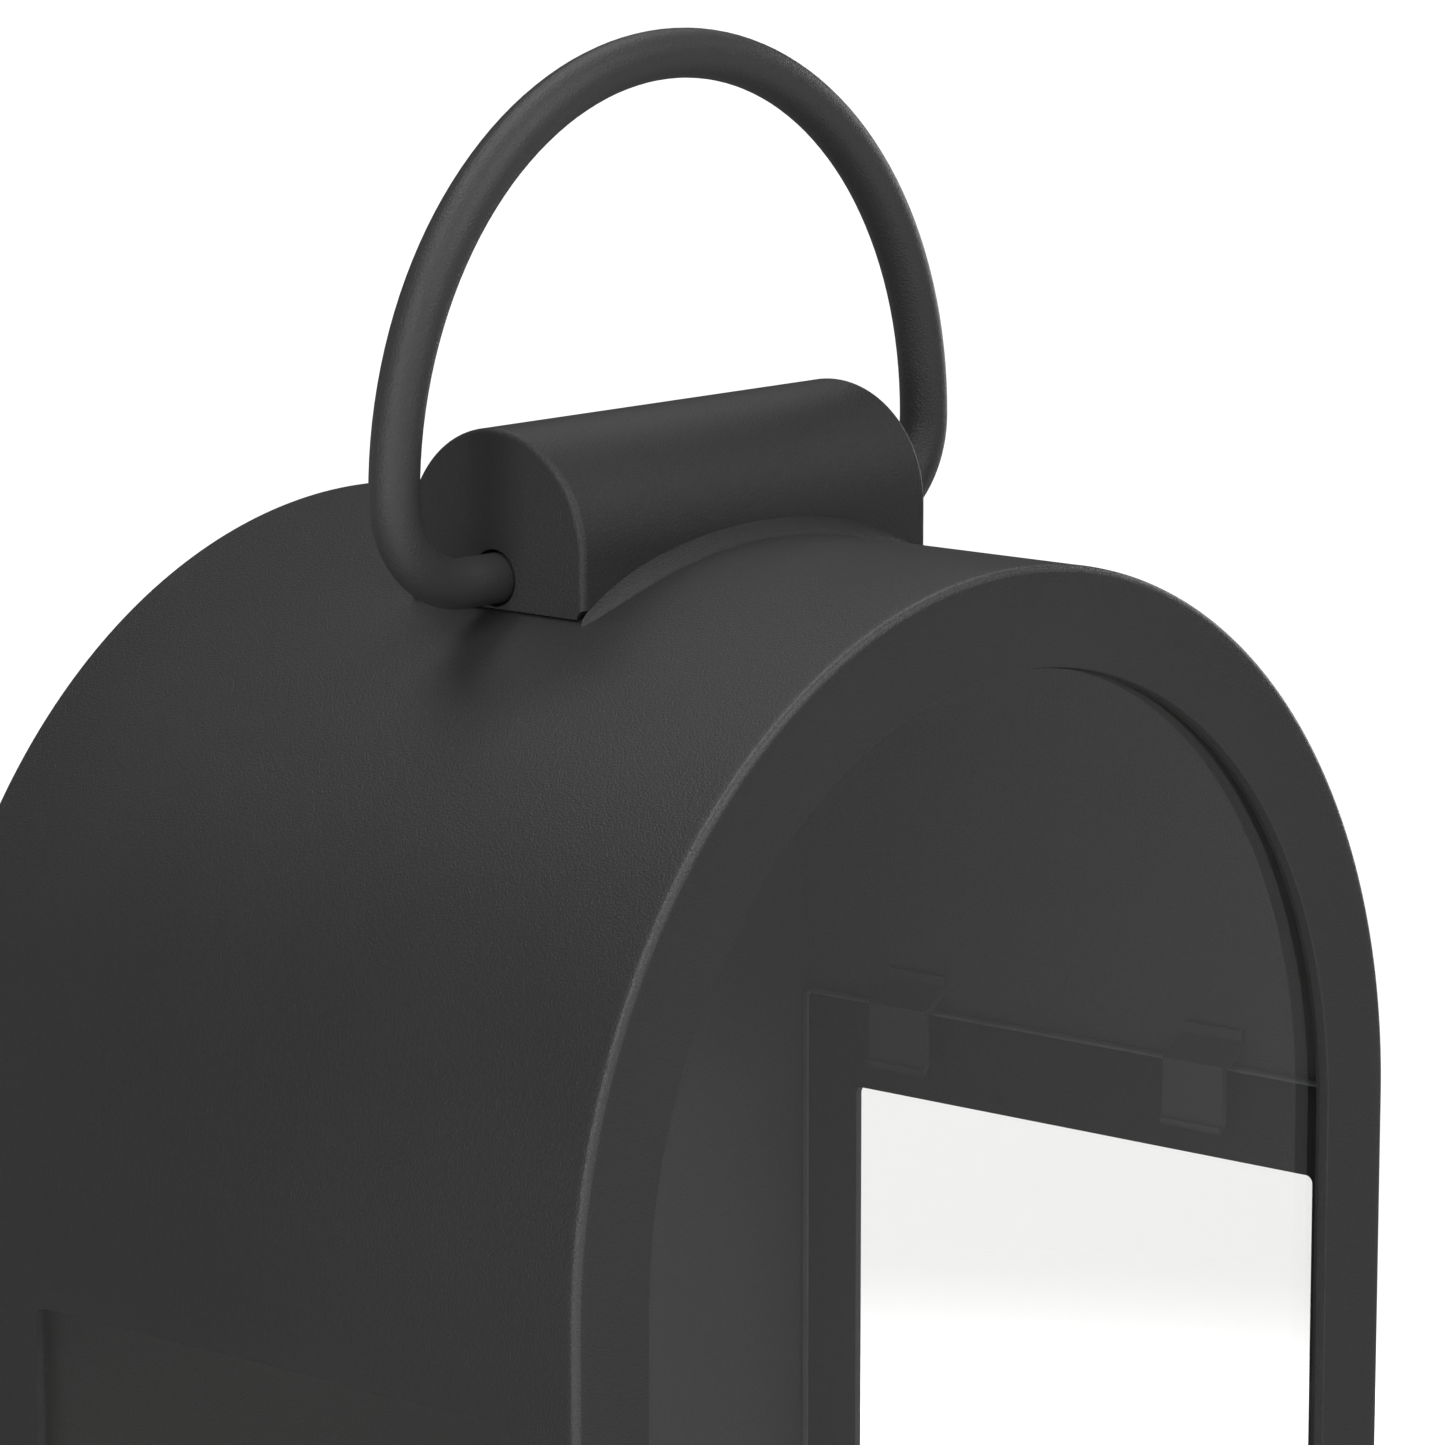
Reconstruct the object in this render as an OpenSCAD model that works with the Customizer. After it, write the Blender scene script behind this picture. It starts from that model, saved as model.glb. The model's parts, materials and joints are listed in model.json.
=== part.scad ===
// Solar lantern: a barrel-vault sheet-metal body glazed on three sides, with a ring handle
// that swings on a saddle across the crest, a solar module in the rear recess, an LED candle
// inside and the battery, circuit board and switch in a compartment under the floor.
// Frame: X across the arched front, Y from the front to the rear, Z up from the ground.

/* [Body] */
// Width across the arched front
body_w = 220; // [214:1:226]
// Depth from the front frame to the rear rim
body_d = 154; // [150:1:160]
// Height of the spring line of the vault above the ground
spring_z = 230; // [224:1:260]
// Thickness of the rolled body sheet
sheet_t = 1.6; // [1.4:0.1:1.8]
// Gap between the ground and the lower edge of the body
body_lift = 6; // [5:0.5:7]
// Distance of the rear wall from the rear rim
recess_d = 16; // [15:0.5:18]

/* [Front frame] */
// Width of the flat band around the front opening
band_w = 17.5; // [16:0.5:20]
// Thickness of the front frame
frame_t = 2.4; // [2.2:0.1:3]
// Radius of the frame's rounded outer edge
edge_r = 2.2; // [1:0.1:2.2]

/* [Windows] */
// Thickness of each glass pane
glass_t = 3; // [2.5:0.5:3]
// Distance of a side window from the front face
window_front = 15.5; // [14:0.5:20]
// Distance of a side window from the rear rim
window_rear = 29; // [26:0.5:34]
// Depth of a side window's top edge below the spring line
window_drop = 17.5; // [16:0.5:30]
// Radius of a window's corners
window_r = 1.5; // [1:0.5:4]

/* [Saddle] */
// Length of the saddle across the crest
saddle_l = 91; // [90:1:94]
// Radius of the saddle's half-round top
saddle_r = 20.6; // [19:0.1:22]
// Leg of the weld bead along the saddle
weld_leg = 3; // [2:0.5:4]

/* [Handle] */
// Diameter of the handle rod
rod_d = 8.7; // [8:0.1:9]
// Radius of the ring's centre line
ring_r = 69.8; // [66:0.1:72]
// Radius of the bends that turn the ends inward
bend_r = 16.7; // [12:0.1:18]

/* [Base] */
// Height of the floor that the candle stands on
floor_z = 36; // [35:0.5:38]
// Diameter of a rubber foot
foot_d = 18; // [14:1:20]

/* [Solar module] */
// Width of the module's frame
module_w = 170; // [160:2:176]
// Height of the module's frame
module_h = 160; // [150:2:166]
// Thickness of the module's frame
module_t = 9; // [8:0.5:10]
// Cells across the module
cells_x = 2; // [1:1:4]
// Cells up the module
cells_z = 6; // [4:1:8]

/* [Candle] */
// Diameter of the candle
candle_d = 75; // [60:1:80]
// Height of the candle above the floor
candle_h = 95; // [80:1:100]
// Height of the flame lens above the candle's holder
flame_h = 28; // [22:1:30]

/* [Switch] */
// Travel of the switch slider
switch_travel = 4; // [3:0.5:5]

/* [Hidden] */

paint = "#3b3b3c";
glass_tint = [0.82, 0.88, 0.86, 0.35];
zinc = "#b9bcc0";
abs_black = "#1f2022";
rubber = "#232323";
wax = "#efe6cf";

half_w = body_w / 2;
front_y = -body_d / 2;
rear_y = body_d / 2;
shell_y = front_y + frame_t;
inner_r = half_w - sheet_t;
glass_back_y = shell_y + glass_t;
back_y = rear_y - recess_d;
back_t = 1.6;
recess_y = back_y + back_t;
flange_d = 10;
flange_t = 1.2;
opening_r = half_w - band_w;
opening_z = floor_z + 6;
window_y0 = front_y + window_front;
window_y1 = rear_y - window_rear;
window_z1 = spring_z - window_drop;
pane_y0 = glass_back_y + 5.5;
pane_y1 = back_y - 0.5;
pane_top = spring_z + 0.4;
pane_x = inner_r - glass_t;
tab_t = 1.2;
tab_w = 14;
pane_tab_ys = [pane_y0 + 28, pane_y1 - 27.5];
front_tab_angles = [24, 68, 112, 156];

saddle_z = spring_z + half_w + 0.9;
saddle_half = saddle_l / 2;
saddle_drop = 16;
cap_t = 2;
cap_edge = 1.2;
cap_gap = 0.5;
pivot_z = spring_z + 105.9 * body_w / 220;
rod_r = rod_d / 2;
hole_gap = 0.6;
pin_gap = 0.3;
pin_tip = 3;
// Where a straight pin would come within pin_gap of the vault
pin_x = sqrt(pow(half_w + pin_gap, 2) - pow(pivot_z - spring_z - rod_r, 2));

plate_t = 1.6;
plate_z = body_lift + 2;
plate_top = plate_z + plate_t;
floor_t = 1.6;
floor_under = floor_z - floor_t;
bracket_xs = [-inner_r + 8, inner_r - 8];
bracket_ys = [-60, 46];
foot_x = 84;
foot_ys = [-58, 44];
m3_r = 1.5;
m3_clear = 1.7;
m3_head_r = 2.9;
m3_head_h = 1.7;

module_z = 132;
gasket_t = 1;
solar_y0 = recess_y + gasket_t;
bezel_w = 7;
bezel_floor = 4;
cell_gap = 1.5;
cell_t = 0.4;
cover_t = 2;
solar_screw_x = module_w / 2 - 4;
solar_screw_z = module_z - module_h / 2 + 4;
clip_x = module_w / 4;

lead_x = 62;
lead_z = 22;
lead_r = 1.75;
wire_r = 0.8;
switch_x = -62;
switch_z = 22;

battery_x = -10;
battery_y = 30;
battery_r = 9.2;
battery_l = 65;
box_l = 76;
box_w = 24;
box_wall = 1.6;
box_h = 23;
battery_z = plate_top + 11;
cover_l = 96;
cover_w = 32;
cover_screw_x = battery_x + box_l / 2 + 3;
board_x = 0;
board_y = -30;
board_l = 74;
board_w = 44;
board_z = plate_top + 6;
board_t = 1.6;
standoff_x = board_l / 2 - 4;
standoff_y = board_w / 2 - 4;
socket_y = board_y + board_w / 2 - 4;
socket_top = board_z + board_t + 4.5;
switch_socket_x = board_x - 24;
battery_socket_x = board_x - 8;
lamp_socket_x = board_x + 8;
solar_socket_x = board_x + 24;

candle_y = -5;
candle_r = candle_d / 2;
candle_wall = 2.5;
candle_base_h = 7;
candle_top = floor_z + candle_h;
pool_depth = 6;
candle_screw_pcd = 50;
candle_screw_angles = [90, 210, 330];
flame_z = candle_top + 1;
flame_r = 8.5;

fine = 96;
arch_fn = 180;

// Shared shapes ---------------------------------------------------------------------------

// Sweeps a section up one side wall, over the vault and down the other side.
// The section's x is the distance from the centre plane and its y is the depth.
module arch_sweep(low_z) {
    translate([0, 0, spring_z])
        mirror([0, 1, 0])
            rotate([90, 0, 0])
                rotate_extrude(angle = 180, $fn = arch_fn)
                    children();
    for (side = [0, 1])
        mirror([side, 0, 0])
            translate([0, 0, low_z])
                linear_extrude(spring_z - low_z)
                    children();
}

// A flat arched plate of thickness t, whose front face is at y0.
module arch_plate(r, low_z, y0, t) {
    translate([0, y0 + t, 0])
        rotate([90, 0, 0])
            linear_extrude(t) {
                translate([0, spring_z]) circle(r, $fn = arch_fn);
                translate([-r, low_z]) square([2 * r, spring_z - low_z]);
            }
}

// A rectangle from the corner (x, y) with rounded corners.
module rounded_rect(x, y, w, h, r) {
    translate([x + r, y]) square([w - 2 * r, h]);
    translate([x, y + r]) square([w, h - 2 * r]);
    for (i = [r, w - r], j = [r, h - r])
        translate([x + i, y + j]) circle(r, $fn = 32);
}

// Extrudes an outline drawn in depth and height across X, from x0.
module across(x0, t) {
    translate([x0, 0, 0])
        rotate([90, 0, 90])
            linear_extrude(t)
                children();
}

// A box given by its centre in X and Y and its lower face in Z.
module block(x, y, z, size) {
    translate([x - size[0] / 2, y - size[1] / 2, z]) cube(size);
}

// A pan-head screw whose head sits on z = 0 and whose shank points down.
module screw(shank_l, shank_r = m3_r, head_r = m3_head_r, head_h = m3_head_h) {
    difference() {
        rotate_extrude($fn = 48) {
            square([head_r - head_h / 2, head_h]);
            square([head_r, head_h / 2]);
            translate([head_r - head_h / 2, head_h / 2]) circle(head_h / 2, $fn = 24);
        }
        for (a = [0, 90])
            rotate(a)
                translate([-head_r * 0.6, -0.35, head_h * 0.4])
                    cube([head_r * 1.2, 0.7, head_h]);
        translate([0, 0, -head_h]) cylinder(h = head_h, r = head_r + 1);
    }
    translate([0, 0, -shank_l]) cylinder(h = shank_l + 0.1, r = shank_r, $fn = 32);
}

// Points of a Catmull-Rom curve through a route, with "steps" points on each span.
function spline_point(p0, p1, p2, p3, t) =
    0.5 * (2 * p1 + (p2 - p0) * t + (2 * p0 - 5 * p1 + 4 * p2 - p3) * t * t
    + (3 * p1 - p0 - 3 * p2 + p3) * t * t * t);
function smooth_route(route, steps) = [
    for (i = [0 : len(route) - 2], s = [0 : steps - 1])
        spline_point(route[max(i - 1, 0)], route[i], route[i + 1],
            route[min(i + 2, len(route) - 1)], s / steps),
    route[len(route) - 1]
];
function unit(v) = v / norm(v);
function heading(path, i) = unit(path[min(i + 1, len(path) - 1)] - path[max(i - 1, 0)]);
function side_of(d) = unit(cross(d, abs(d[2]) > 0.9 ? [0, 1, 0] : [0, 0, 1]));
// Carries the side vector along the path without twist.
function frames(path, i = 0, side = undef) =
    i == len(path) ? [] :
    let (d = heading(path, i),
         s0 = side == undef ? side_of(d) : side,
         s = unit(s0 - (s0 * d) * d))
    concat([[path[i], s, cross(d, s)]], frames(path, i + 1, s));

// A round wire of radius r along a route.
module wire(route, r, steps = 5) {
    sides = 8;
    rings = frames(smooth_route(route, steps));
    n = len(rings);
    points = [for (f = rings, k = [0 : sides - 1])
        f[0] + r * (cos(360 * k / sides) * f[1] + sin(360 * k / sides) * f[2])];
    walls = [for (i = [0 : n - 2], k = [0 : sides - 1])
        [i * sides + k, i * sides + (k + 1) % sides,
         (i + 1) * sides + (k + 1) % sides, (i + 1) * sides + k]];
    ends = [[for (k = [sides - 1 : -1 : 0]) k], [for (k = [0 : sides - 1]) (n - 1) * sides + k]];
    polyhedron(points, concat(walls, ends), convexity = 8);
}

// Body ------------------------------------------------------------------------------------

// Rolled sheet with a full-round rear rim.
module shell_section() {
    rim_r = sheet_t / 2;
    translate([inner_r, shell_y]) square([sheet_t, rear_y - rim_r - shell_y]);
    translate([inner_r + rim_r, rear_y - rim_r]) circle(rim_r, $fn = 32);
}

module body_shell() {
    color(paint)
        difference() {
            arch_sweep(body_lift) shell_section();
            across(-half_w - 1, body_w + 2)
                rounded_rect(window_y0, opening_z,
                    window_y1 - window_y0, window_z1 - opening_z, window_r);
        }
}

module front_section() {
    translate([0, front_y]) square([half_w - edge_r, frame_t]);
    translate([0, front_y + edge_r]) square([half_w, frame_t - edge_r]);
    intersection() {
        translate([half_w - edge_r, front_y + edge_r]) circle(edge_r, $fn = 64);
        translate([half_w - edge_r, front_y]) square([edge_r, edge_r]);
    }
}

module front_frame() {
    color(paint)
        difference() {
            arch_sweep(body_lift) front_section();
            arch_plate(opening_r, opening_z, front_y - 1, frame_t + 2);
        }
}

module front_glass() {
    color(glass_tint)
        arch_plate(inner_r - 1.2, floor_z, shell_y, glass_t);
}

// Bent tabs, welded inside the vault and on the floor, that press the pane on the frame.
module front_tabs() {
    leg = 5;
    reach = 8;
    color(paint) {
        for (a = front_tab_angles)
            translate([0, glass_back_y, spring_z])
                rotate([0, 90 - a, 0]) {
                    translate([-6, 0, inner_r - 0.2 - tab_t]) cube([12, leg, tab_t]);
                    translate([-6, 0, inner_r - 0.2 - reach]) cube([12, tab_t, reach]);
                }
        for (x = [-50, 50]) {
            block(x, glass_back_y + leg / 2, floor_z, [12, leg, tab_t]);
            block(x, glass_back_y + tab_t / 2, floor_z, [12, tab_t, reach]);
        }
    }
}

module side_glass(side) {
    x0 = side > 0 ? pane_x : -inner_r;
    color(glass_tint)
        translate([x0, pane_y0, floor_z]) cube([glass_t, pane_y1 - pane_y0, pane_top - floor_z]);
}

// Section of a tab that folds over the top of a pane, drawn for the right-hand wall:
// x is the distance from the centre plane and y is the height.
module pane_tab_section() {
    over_z = pane_top + 0.1;
    wall_x = inner_r - 0.3 - tab_t;
    leg_x = pane_x - 3 - tab_t;
    leg_l = 9.5;
    curl_r = 2;
    translate([wall_x, over_z + 4]) square([tab_t, 3]);
    hull() {
        translate([wall_x, over_z + 4]) square([tab_t, 1]);
        translate([leg_x, over_z]) square([tab_t, 1]);
    }
    translate([leg_x, over_z - leg_l]) square([tab_t, leg_l + 1]);
    translate([leg_x - curl_r + tab_t, over_z - leg_l])
        intersection() {
            difference() {
                circle(curl_r, $fn = 32);
                circle(curl_r - tab_t, $fn = 32);
            }
            translate([0, -curl_r]) square(curl_r);
        }
}

module side_tabs(side) {
    color(paint)
        mirror([side > 0 ? 0 : 1, 0, 0])
            for (y = pane_tab_ys) {
                translate([0, y + tab_w / 2, 0])
                    rotate([90, 0, 0])
                        linear_extrude(tab_w)
                            pane_tab_section();
                translate([pane_x - 0.1 - tab_t, y + 2, floor_z]) cube([tab_t, 10, 5]);
                translate([pane_x - 5.1, y + 2, floor_z]) cube([5, 10, tab_t]);
            }
}

// Rear wall with a flange that is welded to the shell and faces the rear.
module back_panel() {
    color(paint)
        difference() {
            union() {
                arch_plate(inner_r, body_lift + 1, back_y, back_t);
                arch_sweep(body_lift + 1)
                    translate([inner_r - flange_t, back_y]) square([flange_t, flange_d]);
            }
            translate([lead_x, back_y - 1, lead_z])
                rotate([-90, 0, 0]) cylinder(h = back_t + 2, r = 4);
            translate([switch_x - 5.5, back_y - 1, switch_z - 2.5]) cube([11, back_t + 2, 5]);
            for (x = [-14, 14])
                translate([switch_x + x, back_y - 1, switch_z])
                    rotate([-90, 0, 0]) cylinder(h = back_t + 2, r = m3_r, $fn = 32);
            for (x = [-solar_screw_x, solar_screw_x])
                translate([x, back_y - 1, solar_screw_z])
                    rotate([-90, 0, 0]) cylinder(h = back_t + 2, r = m3_r, $fn = 32);
        }
}

// Base ------------------------------------------------------------------------------------

module floor_plate() {
    flange_h = 9;
    color(paint)
        difference() {
            union() {
                translate([-inner_r, shell_y, floor_under]) cube([2 * inner_r, back_y - shell_y, floor_t]);
                for (side = [0, 1])
                    mirror([side, 0, 0])
                        translate([inner_r - flange_t, shell_y + 2, floor_under - flange_h])
                            cube([flange_t, back_y - shell_y - 4, flange_h]);
            }
            translate([0, candle_y, floor_under - 1]) cylinder(h = floor_t + 2, r = 8);
            for (a = candle_screw_angles)
                translate([0, candle_y, floor_under - 1])
                    rotate(a) translate([candle_screw_pcd / 2, 0, 0])
                        cylinder(h = floor_t + 2, r = m3_clear, $fn = 32);
        }
}

module bottom_plate() {
    gap = 0.4;
    color(paint)
        difference() {
            translate([gap - inner_r, shell_y + gap, plate_z])
                cube([2 * (inner_r - gap), back_y - shell_y - 2 * gap, plate_t]);
            block(battery_x, battery_y, plate_z - 1,
                [box_l - 2 * box_wall, box_w - 2 * box_wall, plate_t + 2]);
            for (x = bracket_xs, y = bracket_ys)
                translate([x, y, plate_z - 1]) cylinder(h = plate_t + 2, r = m3_clear, $fn = 32);
            translate([cover_screw_x, battery_y, plate_z - 1])
                cylinder(h = plate_t + 2, r = m3_clear, $fn = 32);
        }
}

module base_brackets() {
    leg = 14;
    leg_t = 1.5;
    wall_x = inner_r - flange_t - leg_t / 2;
    color(paint)
        for (x = bracket_xs, y = bracket_ys)
            difference() {
                union() {
                    block(x, y, plate_top, [16, leg, leg_t]);
                    block(sign(x) * wall_x, y, plate_top, [leg_t, leg, 12]);
                }
                translate([x, y, plate_top - 1]) cylinder(h = 4, r = m3_r, $fn = 32);
            }
}

module bottom_screws() {
    color(zinc)
        for (x = bracket_xs, y = bracket_ys)
            translate([x, y, plate_z]) mirror([0, 0, 1]) screw(5);
}

module rubber_feet() {
    foot_r = foot_d / 2;
    round_r = 1.5;
    color(rubber)
        for (x = [-foot_x, foot_x], y = foot_ys)
            translate([x, y, 0])
                rotate_extrude($fn = fine) {
                    square([foot_r - round_r, plate_z]);
                    translate([0, round_r]) square([foot_r, plate_z - round_r]);
                    translate([foot_r - round_r, round_r]) circle(round_r, $fn = 32);
                }
}

// Saddle and handle -----------------------------------------------------------------------

// The space that the vault fills, used to cut the saddle to it.
module vault_space(extra = 0) {
    translate([0, -saddle_r - 5, spring_z])
        rotate([-90, 0, 0])
            cylinder(h = 2 * saddle_r + 10, r = half_w + extra, $fn = arch_fn);
}

// Outline of the saddle's end, drawn in depth and height.
module saddle_outline(r) {
    translate([0, saddle_z]) circle(r, $fn = fine);
    translate([-r, saddle_z - saddle_drop]) square([2 * r, saddle_drop]);
}

module handle_mount() {
    body_l = saddle_l - 2 * cap_t;
    color(paint)
        difference() {
            across(-body_l / 2, body_l) saddle_outline(saddle_r);
            across(-saddle_half, saddle_l) saddle_outline(saddle_r - sheet_t);
            vault_space();
        }
}

// Sweeps a section round the saddle's outline: up one side, over the top and down the other.
// The section's x is the distance from the crest line and its y runs outward along X.
module saddle_sweep(drop) {
    translate([0, 0, saddle_z])
        rotate([90, 0, 90])
            rotate_extrude(angle = 180, $fn = fine)
                children();
    for (side = [0, 1])
        mirror([0, side, 0])
            translate([0, 0, saddle_z - drop])
                mirror([1, -1, 0])
                    linear_extrude(drop)
                        children();
}

module cap_section() {
    flat_r = saddle_r - cap_edge;
    square([flat_r, cap_t]);
    square([saddle_r, cap_t - cap_edge]);
    intersection() {
        translate([flat_r, cap_t - cap_edge]) circle(cap_edge, $fn = 48);
        translate([flat_r, cap_t - cap_edge]) square(cap_edge);
    }
}

// Flat end cap with a rounded outer edge, a small notch at each foot and a clearance hole.
module mount_cap(side) {
    foot_z = spring_z + sqrt(pow(half_w + cap_gap, 2) - pow(saddle_half, 2));
    notch = 1.6;
    color(paint)
        mirror([side > 0 ? 0 : 1, 0, 0])
            difference() {
                translate([saddle_half - cap_t, 0, 0]) saddle_sweep(saddle_drop) cap_section();
                vault_space(cap_gap);
                translate([saddle_half - cap_t - 1, 0, pivot_z])
                    rotate([0, 90, 0]) cylinder(h = cap_t + 2, r = rod_r + hole_gap, $fn = fine);
                for (y = [-saddle_r, saddle_r])
                    translate([saddle_half - cap_t - 1, y, foot_z])
                        rotate([0, 90, 0]) cylinder(h = cap_t + 2, r = notch, $fn = 24);
            }
}

// Fillet beads that follow the vault along the front and the rear of the saddle.
module mount_welds() {
    half_angle = asin((saddle_half - 0.5) / half_w);
    color(paint)
        for (side = [0, 1])
            mirror([0, side, 0])
                translate([0, 0, spring_z])
                    rotate([90, 0, 0])
                        rotate(90 - half_angle)
                            rotate_extrude(angle = 2 * half_angle, $fn = arch_fn)
                                polygon([
                                    [half_w, saddle_r],
                                    [half_w, saddle_r + weld_leg],
                                    [half_w + 0.45 * weld_leg, saddle_r + 0.65 * weld_leg],
                                    [half_w + weld_leg, saddle_r]
                                ]);
}

// Round rod bent to a ring, whose pointed ends turn in the holes of the saddle's caps.
module handle_ring() {
    color(paint)
        translate([0, 0, pivot_z]) {
            translate([0, 0, bend_r])
                rotate([90, 0, 0])
                    rotate_extrude(angle = 180, $fn = arch_fn)
                        translate([ring_r, 0]) circle(rod_r, $fn = 48);
            for (side = [0, 1])
                mirror([side, 0, 0]) {
                    translate([ring_r - bend_r, 0, bend_r])
                        rotate([90, 0, 0])
                            rotate(-90)
                                rotate_extrude(angle = 90, $fn = arch_fn)
                                    translate([bend_r, 0]) circle(rod_r, $fn = 48);
                    translate([pin_x, 0, 0])
                        rotate([0, 90, 0])
                            cylinder(h = ring_r - bend_r - pin_x, r = rod_r, $fn = 48);
                    translate([pin_x - pin_tip, 0, 0])
                        rotate([0, 90, 0])
                            cylinder(h = pin_tip, r1 = rod_r - pin_tip, r2 = rod_r, $fn = 48);
                }
        }
}

// Solar module ----------------------------------------------------------------------------

module solar_gasket() {
    color(rubber)
        difference() {
            translate([0, solar_y0, module_z])
                rotate([90, 0, 0])
                    linear_extrude(gasket_t)
                        rounded_rect(2 - module_w / 2, 2 - module_h / 2, module_w - 4, module_h - 4, 4);
            translate([0, solar_y0 + 1, module_z])
                rotate([90, 0, 0])
                    linear_extrude(gasket_t + 2)
                        rounded_rect(10 - module_w / 2, 10 - module_h / 2, module_w - 20, module_h - 20, 4);
            for (x = [-solar_screw_x, solar_screw_x])
                translate([x, solar_y0 - 2, solar_screw_z])
                    rotate([-90, 0, 0]) cylinder(h = 4, r = m3_clear, $fn = 32);
        }
}

module solar_frame() {
    inner_w = module_w - 2 * bezel_w;
    inner_h = module_h - 2 * bezel_w;
    color(abs_black)
        difference() {
            union() {
                translate([0, solar_y0 + module_t, module_z])
                    rotate([90, 0, 0])
                        linear_extrude(module_t)
                            rounded_rect(-module_w / 2, -module_h / 2, module_w, module_h, 6);
                block(lead_x, solar_y0 + 3, module_z - module_h / 2 - 7, [12, 6, 8]);
            }
            translate([0, solar_y0 + module_t + 1, module_z])
                rotate([90, 0, 0])
                    linear_extrude(module_t - bezel_floor + 1)
                        rounded_rect(-inner_w / 2, -inner_h / 2, inner_w, inner_h, 1.5);
            for (x = [-solar_screw_x, solar_screw_x])
                translate([x, solar_y0 - 1, solar_screw_z])
                    rotate([-90, 0, 0]) cylinder(h = module_t + 2, r = m3_clear, $fn = 32);
            translate([lead_x, solar_y0 + 3, module_z - module_h / 2 - 8])
                cylinder(h = 5, r = lead_r, $fn = 32);
        }
}

module solar_cells() {
    pitch_x = (module_w - 2 * bezel_w - 4) / cells_x;
    pitch_z = (module_h - 2 * bezel_w - 4) / cells_z;
    color("#101a33")
        for (i = [0 : cells_x - 1], k = [0 : cells_z - 1])
            translate([(i - cells_x / 2) * pitch_x, 0, (k - cells_z / 2) * pitch_z])
                translate([cell_gap / 2, solar_y0 + bezel_floor, module_z + cell_gap / 2])
                    cube([pitch_x - cell_gap, cell_t, pitch_z - cell_gap]);
}

// Two tinned ribbons down each column of cells.
module solar_ribbons() {
    pitch_x = (module_w - 2 * bezel_w - 4) / cells_x;
    ribbon = [1.5, 0.2, module_h - 2 * bezel_w - 4];
    color("silver")
        for (i = [0 : cells_x - 1], share = [0.25, 0.75])
            block((i + share - cells_x / 2) * pitch_x, solar_y0 + bezel_floor + cell_t + ribbon[1] / 2,
                module_z - ribbon[2] / 2, ribbon);
}

module solar_cover() {
    gap = 0.3;
    inner_w = module_w - 2 * bezel_w - 2 * gap;
    inner_h = module_h - 2 * bezel_w - 2 * gap;
    color([0.75, 0.8, 0.85, 0.35])
        translate([0, solar_y0 + bezel_floor + 1 + cover_t, module_z])
            rotate([90, 0, 0])
                linear_extrude(cover_t)
                    rounded_rect(-inner_w / 2, -inner_h / 2, inner_w, inner_h, 1.2);
}

// Bent clips, spot-welded to the rear wall, that hold the module's upper edge.
module solar_clips() {
    clip_w = 20;
    clip_t = 1.2;
    lip = 3.5;
    edge_z = module_z + module_h / 2 + 0.2;
    front = solar_y0 + module_t + 0.1;
    color(paint)
        for (x = [-clip_x, clip_x])
            translate([x - clip_w / 2, 0, 0]) {
                translate([0, recess_y, edge_z]) cube([clip_w, clip_t, 9]);
                translate([0, recess_y, edge_z]) cube([clip_w, front - recess_y + clip_t, clip_t]);
                translate([0, front, edge_z - lip]) cube([clip_w, clip_t, lip + clip_t]);
            }
}

module solar_screws() {
    color(zinc)
        for (x = [-solar_screw_x, solar_screw_x])
            translate([x, solar_y0 + module_t, solar_screw_z])
                rotate([-90, 0, 0]) screw(module_t + gasket_t + back_t + 2, head_r = 2.7);
}

module lead_grommet() {
    color(rubber)
        translate([lead_x, back_y, lead_z])
            rotate([-90, 0, 0])
                difference() {
                    union() {
                        cylinder(h = back_t, r = 4, $fn = 48);
                        translate([0, 0, back_t]) cylinder(h = 1.6, r = 5.5, $fn = 48);
                        translate([0, 0, -1.6]) cylinder(h = 1.6, r = 5.5, $fn = 48);
                    }
                    translate([0, 0, -3]) cylinder(h = 8, r = lead_r + 0.15, $fn = 48);
                }
}

// Two-core lead from the module, down the recess, through the grommet and on to the board.
module solar_lead() {
    exit_y = solar_y0 + 3;
    exit_z = module_z - module_h / 2 - 3;
    color("black")
        wire([
            [lead_x, exit_y, exit_z], [lead_x, exit_y, exit_z - 3], [lead_x, exit_y, exit_z - 6],
            [lead_x, exit_y + 3, exit_z - 14], [lead_x, exit_y + 3.6, lead_z + 5],
            [lead_x, exit_y + 1.4, lead_z + 0.8], [lead_x, recess_y + 3, lead_z],
            [lead_x, recess_y, lead_z], [lead_x, back_y - 2, lead_z], [lead_x, back_y - 5, lead_z],
            [lead_x - 2, back_y - 22, lead_z - 2], [lead_x - 10, 10, lead_z - 1],
            [solar_socket_x + 14, -4, lead_z + 4], [solar_socket_x + 4, socket_y + 1, socket_top + 7],
            [solar_socket_x, socket_y, socket_top + 6], [solar_socket_x, socket_y, socket_top + 3],
            [solar_socket_x, socket_y, socket_top]
        ], lead_r, 3);
}

// Switch ----------------------------------------------------------------------------------

module switch_housing() {
    body = [20, 10, 10];
    color(abs_black)
        difference() {
            union() {
                block(switch_x, back_y - body[1] / 2, switch_z - body[2] / 2, body);
                block(switch_x, back_y - 1, switch_z - 4, [36, 2, 8]);
            }
            block(switch_x, back_y - 1.5, switch_z - 3.4, [14.4, 3.02, 6.8]);
            for (x = [-14, 14])
                translate([switch_x + x, back_y - 3, switch_z])
                    rotate([-90, 0, 0]) cylinder(h = 4, r = m3_r, $fn = 32);
        }
}

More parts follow.
